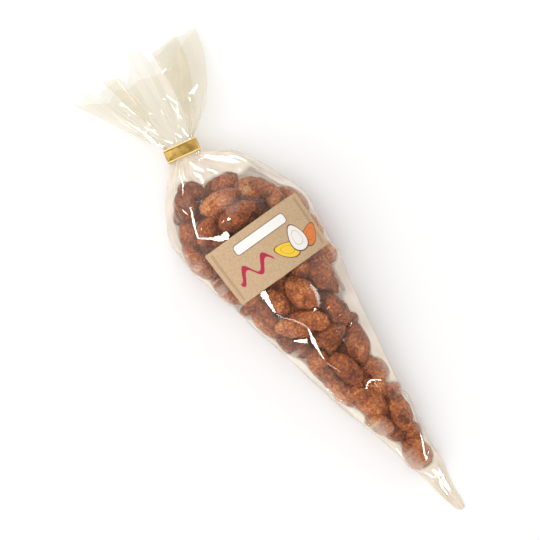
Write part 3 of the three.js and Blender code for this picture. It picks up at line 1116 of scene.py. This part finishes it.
def seen_from_above(across, along, up):
    """Moves a place outwards by what the camera's perspective takes from it below the focus height."""
    share = (FOCUS_HEIGHT - up) / (CAMERA_HEIGHT - FOCUS_HEIGHT)
    middle_across, middle_along = PICTURE_CENTRE
    return across + (across - middle_across) * share, along + (along - middle_along) * share, up


def mouth_line(columns):
    """The mouth at every column of film, and the angle round the neck that each column comes from."""
    folds = np.array([in_frame(*seen_from_above(*fold)) for fold in MOUTH])
    closed = np.vstack([folds, folds[:1]])
    length = running_length(steps_of(closed))
    wanted = np.linspace(0, length[-1], columns, endpoint=False)
    line = softened_loop(points_at(closed, length, wanted))
    stops = [0, length[RIGHT_FOLD], length[LEFT_FOLD], length[-1]]
    quarter = math.pi / 2
    return line, np.interp(wanted, stops, [-quarter, 0, 2 * quarter, 3 * quarter])


# The ruffle bows out and up halfway: across, along and up, in full at the far one of these places
# across, and crinkles most at this share of its height.
BOW = (15, -9, 2)
BOW_PLACES = (10, 57)
CRINKLE_PEAK = 0.09
CRINKLE_COUNTS = (13, 19, 27, 36)
# Flat panels of the ruffle: rows and columns of a panel, and its depth.
RUFFLE_FACETS = ((30, 40, 0.8), (12, 16, 0.14))


def ruffle_rows(angles, mouth):
    """Rows of film from the band up to the mouth, folded as the mouth is and crinkled at the neck."""
    neck = neck_ring(BAND_REACH, angles)
    draw = np.random.default_rng(SEED + 1)
    column = np.linspace(0, 2 * math.pi, len(angles), endpoint=False)
    crinkle = sum(
        draw.uniform(0.5, 1.0) * np.sin(count * column + draw.uniform(0, 6)) for count in CRINKLE_COUNTS
    )
    side = smoothstep(mouth[:, 0] - TIP[0], *BOW_PLACES)
    bow = np.stack([BOW[0] * side, BOW[1] * side, np.full(side.shape, BOW[2])], axis=1)
    edge = 0.5 * np.sin(9 * column + 1.0) + 0.35 * np.sin(23 * column)
    rows = []
    for k in range(1, RUFFLE_ROWS + 1):
        t = k / RUFFLE_ROWS
        control = mix(neck, mouth, 0.45) + bow
        row = neck * (1 - t) ** 2 + control * (2 * t * (1 - t)) + mouth * t * t
        near = t / CRINKLE_PEAK * math.exp(1 - t / CRINKLE_PEAK)
        row[:, 2] += crinkle * (0.55 * near + 0.12 * (1 - t)) * min(1.0, 4 * t)
        row[:, 1] += edge * t**6
        rows.append(row)
    share = smoothstep(np.arange(1, RUFFLE_ROWS + 1) / RUFFLE_ROWS, 0.0, 0.4)[:, None]
    rows = np.array(rows)
    for n, (row_step, column_step, depth) in enumerate(RUFFLE_FACETS):
        rows = facets(rows, row_step, column_step, depth * share, SEED + 4 + n)
    return rows


LIFT_ROUNDS = 4
LIFT_REACH = 4.0


def clear_of_almonds(film, crusts):
    """Lifts the film off the almonds' finished crusts wherever it would cut through them."""
    for _ in range(LIFT_ROUNDS):
        for r, c in np.ndindex(film.shape[:2]):
            point = Vector(film[r, c])
            near, normal, _, _ = crusts.find_nearest(point, LIFT_REACH)
            if near is not None and (point - near).dot(normal) < FILM_CLEARANCE:
                film[r, c] = near + normal * FILM_CLEARANCE
    return film


def make_film(name, film, finish, marks, pointed):
    """One sheet of film from rows of points, with marks that its finish reads at each point.

    A pointed sheet is closed at the middle of its first row.
    """
    rows, columns, _ = film.shape
    index = np.arange(rows * columns).reshape(rows, columns)
    right = np.roll(index, -1, 1)
    faces = list(quads(index[:-1], index[1:], right[1:], right[:-1]))
    points = film.reshape(-1, 3)
    if pointed:
        faces += [(rows * columns, here, after) for here, after in zip(index[0], right[0])]
        points = np.vstack([points, film[0].mean(0)])
    piece = new_piece(name, points, faces)
    for mark, values in marks.items():
        kind, field = ("FLOAT_VECTOR", "vector") if values.ndim == 3 else ("FLOAT", "value")
        spread = np.append(values.ravel(), values[0].mean(0).ravel()) if pointed else values.ravel()
        piece.data.attributes.new(mark, kind, "POINT").data.foreach_set(field, spread)
    piece.data.materials.append(finish)
    return piece


CLEAR_TINT = (0.968, 0.958, 0.92, 1.0)
# Warm colour of the milky part, which is partly painted light.
MILKY_AND_PAINTED_LIGHT_COLOUR = (0.99, 0.89, 0.76, 1.0)
GLOSS_COLOUR = (0.9, 0.88, 0.84, 1.0)


def film_finish():
    """Clear glossy film: cream where looked through, and milky where the slack mark is high, a milkiness
    that is partly the film's own and partly painted light; its creases tilt the normals of its gloss.
    """
    finish = Finish(bpy.data.materials.new("clear_film"))
    normal = finish.node("ShaderNodeNewGeometry", out="Normal")
    normal = finish.mixed("VECTOR", finish.mark("crease"), normal, finish.mark("turned", "Vector"))
    streaks = finish.grain(finish.place(), 45.0, 1.0)
    # Milkiness, partly painted light: it brightens the film over shaded floor in the margins, the neck and
    # the tail, and lays a pale veil over the outer almonds.
    milkiness_and_painted_light = 0.01 + finish.mark("slack") * (0.42 + 0.24 * streaks.step(0.3, 0.7))
    facing = finish.node("ShaderNodeLayerWeight", None, 0.5, out="Facing")
    mirror = 0.05 + 0.85 * facing ** 4.0
    clear = finish.node("ShaderNodeBsdfTransparent", None, CLEAR_TINT)
    milky_layer_and_light = finish.node("ShaderNodeBsdfDiffuse", None, MILKY_AND_PAINTED_LIGHT_COLOUR)
    through = finish.node("ShaderNodeMixShader", None, milkiness_and_painted_light, clear, milky_layer_and_light)
    gloss = finish.principled(Base_Color=GLOSS_COLOUR, Metallic=1.0, Roughness=0.07, Normal=normal)
    return finish.done(finish.node("ShaderNodeMixShader", None, mirror, through, gloss))


# ---------------------------------------------------------------- label
LABEL_LENGTH = 80.0
LABEL_WIDTH = 40.2
LABEL_LEFT = -31.0
LABEL_ALONG = 216.8
LABEL_TURN = math.radians(2.4)
LABEL_THICKNESS = 0.45
LABEL_COLUMNS = 96
LABEL_ROWS = 44
# The bent node is read at this step across it, this share in from its edges, where it faces up at least
# this much, and the grid is evened out in rounds.
LABEL_STEP = 0.2
LABEL_INSET = 0.02
LABEL_UPRIGHT = 0.05
LABEL_ROUNDS = 6


def label_grid():
    """Top of the card at even steps of its own length and width, found on the bent label node."""
    surface = Surface("label")
    grid = []
    for r in range(LABEL_ROWS + 1):
        start_along = LABEL_ALONG + LABEL_WIDTH * (r / LABEL_ROWS - 0.5)
        line = []
        for across in np.arange(LABEL_LEFT - 0.5, LABEL_LEFT + LABEL_LENGTH, LABEL_STEP):
            along = start_along - math.tan(LABEL_TURN) * (across - LABEL_LEFT - LABEL_LENGTH / 2)
            inner = mix(along, LABEL_ALONG, LABEL_INSET)
            found = surface.hit(in_frame(across, inner, ABOVE_BAG), DOWN)
            if found and found[1][2] > LABEL_UPRIGHT:
                line.append([found[0][0], along + TIP[1], found[0][2]])
        line = np.array(line)
        length = running_length(steps_of(line))
        grid.append(points_at(line, length, np.linspace(0, length[-1], LABEL_COLUMNS + 1)))
    grid = np.array(grid)
    for _ in range(LABEL_ROUNDS):
        beside = grid[:-2, 1:-1] + grid[2:, 1:-1] + grid[1:-1, :-2] + grid[1:-1, 2:]
        grid[1:-1, 1:-1] = (grid[1:-1, 1:-1] * 2 + beside) / 6
    return grid


def make_label(finish):
    """Card of even thickness over the grid, with a UV map that runs over its length and width."""
    top = label_grid()
    rows, columns, _ = top.shape
    outward = unit(np.cross(np.gradient(top, axis=1), np.gradient(top, axis=0)))
    count = rows * columns
    index = np.arange(count).reshape(rows, columns)
    faces = quads(index[:-1, :-1], index[:-1, 1:], index[1:, 1:], index[1:, :-1])
    rim = np.concatenate([index[0, :-1], index[:-1, -1], index[-1, :0:-1], index[:0:-1, 0]])
    after = np.roll(rim, -1)
    sides = quads(after, rim, rim + count, after + count)
    points = np.vstack([top.reshape(-1, 3), (top - outward * LABEL_THICKNESS).reshape(-1, 3)])
    piece = new_piece("label_card", points, np.vstack([faces, faces[:, ::-1] + count, sides]))
    shares = np.meshgrid(np.linspace(0, 1, columns), np.linspace(0, 1, rows))
    place = np.stack(shares, axis=-1).reshape(-1, 2)
    corner = np.array([loop.vertex_index for loop in piece.data.loops]) % count
    piece.data.uv_layers.new(name="UVMap").data.foreach_set("uv", place[corner].ravel())
    sharp = piece.data.attributes.new("sharp_edge", "BOOLEAN", "EDGE")
    rims = {(min(a, b) + shift, max(a, b) + shift) for a, b in zip(rim, after) for shift in (0, count)}
    sharp.data.foreach_set("value", [tuple(sorted(edge.vertices)) in rims for edge in piece.data.edges])
    piece.data.materials.append(finish)
    return piece


# The print, in millimetres of the card's length and width.
KRAFT_DARK = (0.47, 0.31, 0.172)
KRAFT_PALE = (0.6, 0.425, 0.252)
KRAFT_SPECK = (0.25, 0.13, 0.07)
MAROON = (0.13, 0.012, 0.016)
CRIMSON = (0.42, 0.008, 0.05)
END_LINES = (4.0, 5.2, LABEL_LENGTH - 5.2, LABEL_LENGTH - 4.0)
END_LINE_HALF = (0.22, 18.0)
# Plaque: its middle, half length and half width, the radius of its corners, its border and its white.
PLAQUE_MIDDLE = (LABEL_LENGTH / 2, 31.0)
PLAQUE_HALF = (20.0, 3.4)
PLAQUE_CORNER = 2.2
PLAQUE_BORDER = 0.45
PLAQUE_WHITE = (0.86, 0.84, 0.8)
# Printed almonds: middle, half length and half width, turn in radians and colour.
PRINTED_ALMONDS = (
    ((48.6, 12.4), (8.6, 4.8), 2.55, (0.85, 0.56, 0.03)),
    ((69.4, 12.4), (8.6, 4.8), 0.59, (0.72, 0.2, 0.03)),
    ((59.0, 15.4), (9.2, 6.0), 1.57, (0.84, 0.81, 0.75)),
)
# Ribbon: its middle and half its length, its swing and waves to a millimetre, and half its width.
RIBBON_MIDDLE = (24.0, 14.5)
RIBBON_HALF_LENGTH = 14.5
RIBBON_SWING = 4.2
RIBBON_WAVE = 0.42
RIBBON_HALF_WIDTH = 1.9


def plaque_distance(x, y):
    """Distance outside the plaque's rounded edge."""
    over_x = (abs(x - PLAQUE_MIDDLE[0]) - (PLAQUE_HALF[0] - PLAQUE_CORNER)).most(0.0)
    over_y = (abs(y - PLAQUE_MIDDLE[1]) - (PLAQUE_HALF[1] - PLAQUE_CORNER)).most(0.0)
    return (over_x * over_x + over_y * over_y) ** 0.5 - PLAQUE_CORNER


def almond_distance(x, y, middle, half, turn):
    """Place in a printed almond: 0 at its middle and 1 at its edge, which is pointed at one end."""
    cos, sin = math.cos(turn), math.sin(turn)
    p = ((x - middle[0]) * cos + (y - middle[1]) * sin) / half[0]
    q = ((y - middle[1]) * cos - (x - middle[0]) * sin) / half[1]
    wide = q / (1.0 - 0.3 * p)
    return (p * p + wide * wide) ** 0.5


def label_finish():
    """Speckled kraft card, printed with a blank plaque, a waving ribbon and a fan of three almonds."""
    finish = Finish(bpy.data.materials.new("printed_kraft_card"))
    across, along, _ = finish.split(finish.node("ShaderNodeUVMap", {"uv_map": "UVMap"}))
    x = across * LABEL_LENGTH
    y = along * LABEL_WIDTH
    place = finish.place()
    fibre = finish.grain(place, 900.0, 3.0, 0.7)
    speck = finish.grain(place, 2600.0, 2.0, 0.6)
    colour = finish.blend(fibre.step(0.3, 0.7), KRAFT_DARK, KRAFT_PALE)
    colour = finish.blend((speck - 0.6).step(0.0, 0.1) * 0.35, colour, KRAFT_SPECK)
    for end in END_LINES:
        within = (END_LINE_HALF[1] - abs(y - LABEL_WIDTH / 2)).step(0.0, 0.2)
        colour = finish.blend((END_LINE_HALF[0] - abs(x - end)).step(0.0, 0.15) * within, colour, MAROON)
    rounded = plaque_distance(x, y)
    colour = finish.blend((PLAQUE_BORDER - rounded).step(0.0, 0.2), colour, MAROON)
    colour = finish.blend((0.0 - rounded).step(0.0, 0.2), colour, PLAQUE_WHITE)
    for middle, half, turn, tint in PRINTED_ALMONDS:
        distance = almond_distance(x, y, middle, half, turn)
        colour = finish.blend((1.09 - distance).step(0.0, 0.04), colour, MAROON)
        colour = finish.blend((1.0 - distance).step(0.0, 0.04), colour, tint)
        vein = abs(distance - 0.55)
        colour = finish.blend((0.035 - vein).step(0.0, 0.03) * 0.6, colour, MAROON)
    wave = x * RIBBON_WAVE
    half_width = RIBBON_HALF_WIDTH + 0.8 * (wave + 1.2).sine()
    ribbon = abs(y - RIBBON_MIDDLE[1] - RIBBON_SWING * wave.sine()) - half_width
    inside = (RIBBON_HALF_LENGTH - abs(x - RIBBON_MIDDLE[0])).step(0.0, 0.5)
    colour = finish.blend((0.0 - ribbon).step(0.0, 0.2) * inside, colour, CRIMSON)
    bump = finish.bump(fibre, 0.12, 0.0003)
    return finish.done(finish.principled(Base_Color=colour, Roughness=0.62, Normal=bump))


# ---------------------------------------------------------------- gold band
BAND_STEPS = 168
# Half of the strip's section, from its edge to its middle: out from the neck, and from the middle line.
BAND_SECTION = [
    (0.0, 4.6),
    (0.45, 4.62),
    (0.9, 4.55),
    (1.12, 4.3),
    (1.18, 4.05),
    (1.08, 3.78),
    (0.82, 3.55),
    (0.6, 3.35),
    (0.62, 2.9),
    (0.72, 2.2),
    (0.76, 1.4),
    (0.78, 0.6),
]
# Half the length and height of the hole through the band, and how squarely the loop turns at its ends.
BAND_HOLE = (11.1, 2.5)
BAND_SQUARENESS = 1.6
# Ripples of the foil: height in millimetres and fineness.
BAND_RIPPLES = ((0.10, 1.7), (0.05, 6.0))
BAND_WAVE = 0.12
GOLD_DARK = (0.46, 0.265, 0.05)
GOLD_PALE = (0.76, 0.5, 0.145)
# Painted shade for the creases beside the wires and the band's left end, and a painted highlight for the
# wires.
GOLD_PAINTED_SHADE = (0.36, 0.2, 0.03)
GOLD_WIRE_HIGHLIGHT = (1.0, 0.8, 0.36)


def make_band(finish):
    """Flat foil loop with a raised wire along each edge and a crease beside it."""
    profile = BAND_SECTION + [(out, -y) for out, y in reversed(BAND_SECTION)]
    length, depth = BAND_HOLE
    points = []
    for s in range(BAND_STEPS):
        angle = 2 * math.pi * s / BAND_STEPS
        c, n = math.cos(angle), math.sin(angle)
        reach = math.copysign(min(1.0, abs(c) * BAND_SQUARENESS), c) * (length - depth)
        for out, y in profile:
            spot = Vector((c * 3.0, n * 3.0, y * 0.35))
            ripple = sum(height * noise.noise(spot * scale) for height, scale in BAND_RIPPLES)
            far = depth + out + ripple
            points.append(on_band(reach + far * c, y + BAND_WAVE * math.sin(3 * angle), far * n))
    count = len(profile)
    index = np.arange(BAND_STEPS * count).reshape(BAND_STEPS, count)
    after = np.roll(index, -1, 0)
    faces = quads(index, after, np.roll(after, -1, 1), np.roll(index, -1, 1))
    piece = new_piece("gold_band", np.array(points), faces)
    piece.data.materials.append(finish)
    return piece


def band_finish():
    """Crinkled gold foil, browner where it is rubbed, with painted shade in the creases beside the wires
    and towards the band's left end, and a painted highlight along the wires.
    """
    finish = Finish(bpy.data.materials.new("gold_foil"))
    place = finish.place()
    across, along, _ = finish.split(place)
    middle = [float(value) for value in BAND_MIDDLE * MM]
    cos, sin = math.cos(BAND_SLANT), math.sin(BAND_SLANT)
    from_middle = abs((along - middle[1]) * cos + (across - middle[0]) * sin) / MM
    leftward = ((middle[0] - across) * cos + (along - middle[1]) * sin) / MM
    wear = finish.grain(place, 210.0, 3.0, 0.6)
    fine = finish.grain(place, 1500.0, 3.0, 0.6)
    # Painted shade: darker in the creases beside the wires and towards the band's left end.
    painted_shade = (leftward.step(2.0, 12.0) * 0.5 + from_middle.step(2.8, 3.2) * 0.6).step(0.1, 1.0)
    colour = finish.blend(wear.step(0.32, 0.6), GOLD_DARK, GOLD_PALE)
    colour = finish.blend(painted_shade, colour, GOLD_PAINTED_SHADE)
    # Painted highlight along the raised wires.
    colour = finish.blend(from_middle.step(3.45, 3.75), colour, GOLD_WIRE_HIGHLIGHT)
    bump = finish.bump(fine, 0.4, 0.0004)
    return finish.done(finish.principled(Base_Color=colour, Metallic=0.6, Roughness=0.33, Normal=bump))


# ---------------------------------------------------------------- studio
FLOOR_REACH = 3000
PAPER_COLOUR = (0.93, 0.93, 0.93, 1.0)
SKY_COLOUR = (1.0, 0.99, 0.98, 1.0)
# Strength of the sky at the horizon and how much of it is gone overhead.
SKY_LOW = 1.25
SKY_LOSS = 1.07
SENSOR_WIDTH = 36.0
FAR_CLIP = 20.0
# Soft light over the bag: direction, distance, size and radiance.
OVERHEAD = ((-0.25, 0.2, 1.0), 1300, (1900, 1900), 1.5)


def make_floor():
    corners = [(x * FLOOR_REACH, y * FLOOR_REACH, 0) for x, y in ((-1, -1), (1, -1), (1, 1), (-1, 1))]
    floor = new_piece("floor", corners, [(0, 1, 2, 3)])
    paper = Finish(bpy.data.materials.new("pale_paper"))
    floor.data.materials.append(paper.done(paper.principled(Base_Color=PAPER_COLOUR, Roughness=0.9)))


def make_sky():
    """Sky that is bright at the horizon and dim overhead, where the film would mirror it."""
    sky = Finish(bpy.data.worlds.new("studio"), "ShaderNodeOutputWorld")
    _, _, upward = sky.split(sky.node("ShaderNodeTexCoord"))
    strength = SKY_LOW - upward.step(0.25, 0.95) * SKY_LOSS
    bpy.context.scene.world = sky.done(sky.node("ShaderNodeBackground", None, SKY_COLOUR, strength))


def make_camera():
    """Camera over the bag's middle, turned so that the bag slants as in the photograph."""
    camera = bpy.data.objects.new("camera", bpy.data.cameras.new("camera"))
    camera.data.sensor_width = SENSOR_WIDTH
    view_width = PICTURE_PIXELS * MM_PER_PIXEL
    camera.data.lens = SENSOR_WIDTH * (CAMERA_HEIGHT - FOCUS_HEIGHT) / view_width
    camera.location = in_frame(*PICTURE_CENTRE, CAMERA_HEIGHT) * MM
    camera.rotation_euler = (0, 0, -PICTURE_TURN)
    camera.data.clip_end = FAR_CLIP
    bpy.context.scene.collection.objects.link(camera)
    bpy.context.scene.camera = camera


def add_softbox(name, towards, distance, size, radiance, glints):
    """Area light towards a direction from the bag's middle, either soft light or seen only as glints."""
    lamp = bpy.data.lights.new(name, "AREA")
    lamp.shape = "RECTANGLE"
    lamp.size = size[0] * MM
    lamp.size_y = size[1] * MM
    lamp.energy = radiance * math.pi * size[0] * size[1] * MM * MM
    piece = bpy.data.objects.new(name, lamp)
    direction = Vector(towards).normalized()
    piece.location = Vector(BAG_MIDDLE * MM) + direction * distance * MM
    piece.rotation_euler = direction.to_track_quat("Z", "Y").to_euler()
    piece.visible_glossy = glints
    piece.visible_diffuse = not glints
    bpy.context.scene.collection.objects.link(piece)


# ---------------------------------------------------------------- assembly
# Flat panels of the tail's film: rows and columns of a panel, its depth, and where along the bag they
# fade out.
TAIL_FACETS = (12, 18)
TAIL_FACET_DEPTH = 0.5
TAIL_FACET_FADE = (20, 30)
RUFFLE_SLACK = 0.12

make_floor()
make_sky()
make_camera()
bpy.context.scene.view_settings.view_transform = "Standard"
bpy.context.scene.cycles.transparent_max_bounces = 48
add_softbox("overhead", *OVERHEAD, False)
for name, panel in PANELS.items():
    add_softbox(name, *panel, True)

centres, axes, halves, shown_count = lay_almonds()
almonds = make_almonds(centres, axes, halves, shown_count, crust_finish())
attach(almonds, "root")
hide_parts("bag")

finish = film_finish()
crusts = crust_tree(almonds)
_, neck_angles = mouth_line(FILM_COLUMNS)
body, film_places = film_before(neck_angles)
body = draw_taut(body, film_places, almonds, label_distance(body, film_places))
body = pleat(body, film_places)
facet_depth = TAIL_FACET_DEPTH * (1 - smoothstep(film_places, *TAIL_FACET_FADE))
body = facets(body, *TAIL_FACETS, facet_depth[:, None], SEED + 6)
body, marks = lay_creases(body, CREASES)
body = clear_of_almonds(body, crusts)
# The slack mark carries the film's milkiness, partly painted light.
marks["slack"] = milky_and_painted_light_share(body, film_places, crusts)
in_band = np.array([neck_ring(offset, neck_angles) for offset in (-BAND_REACH / 2, 0.0)])
marks = {mark: np.concatenate([values, values[-1:], values[-1:]]) for mark, values in marks.items()}
film = make_film("film", np.vstack([body, in_band]), finish, marks, True)

mouth, neck_angles = mouth_line(RUFFLE_COLUMNS)
in_band = np.array([neck_ring(offset, neck_angles) for offset in (0.0, BAND_REACH / 2, BAND_REACH)])
ruffle, marks = lay_creases(np.vstack([in_band, ruffle_rows(neck_angles, mouth)]), RUFFLE_CREASES)
marks["slack"] = np.full(ruffle.shape[:2], RUFFLE_SLACK)
ruffle = make_film("film_ruffle", ruffle, finish, marks, False)
for piece in (film, ruffle):
    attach(piece, "root")
    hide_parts("bag")

label = make_label(label_finish())
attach(label, "root")
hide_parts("label")

band = make_band(band_finish())
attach(band, "root")
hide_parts("tie")
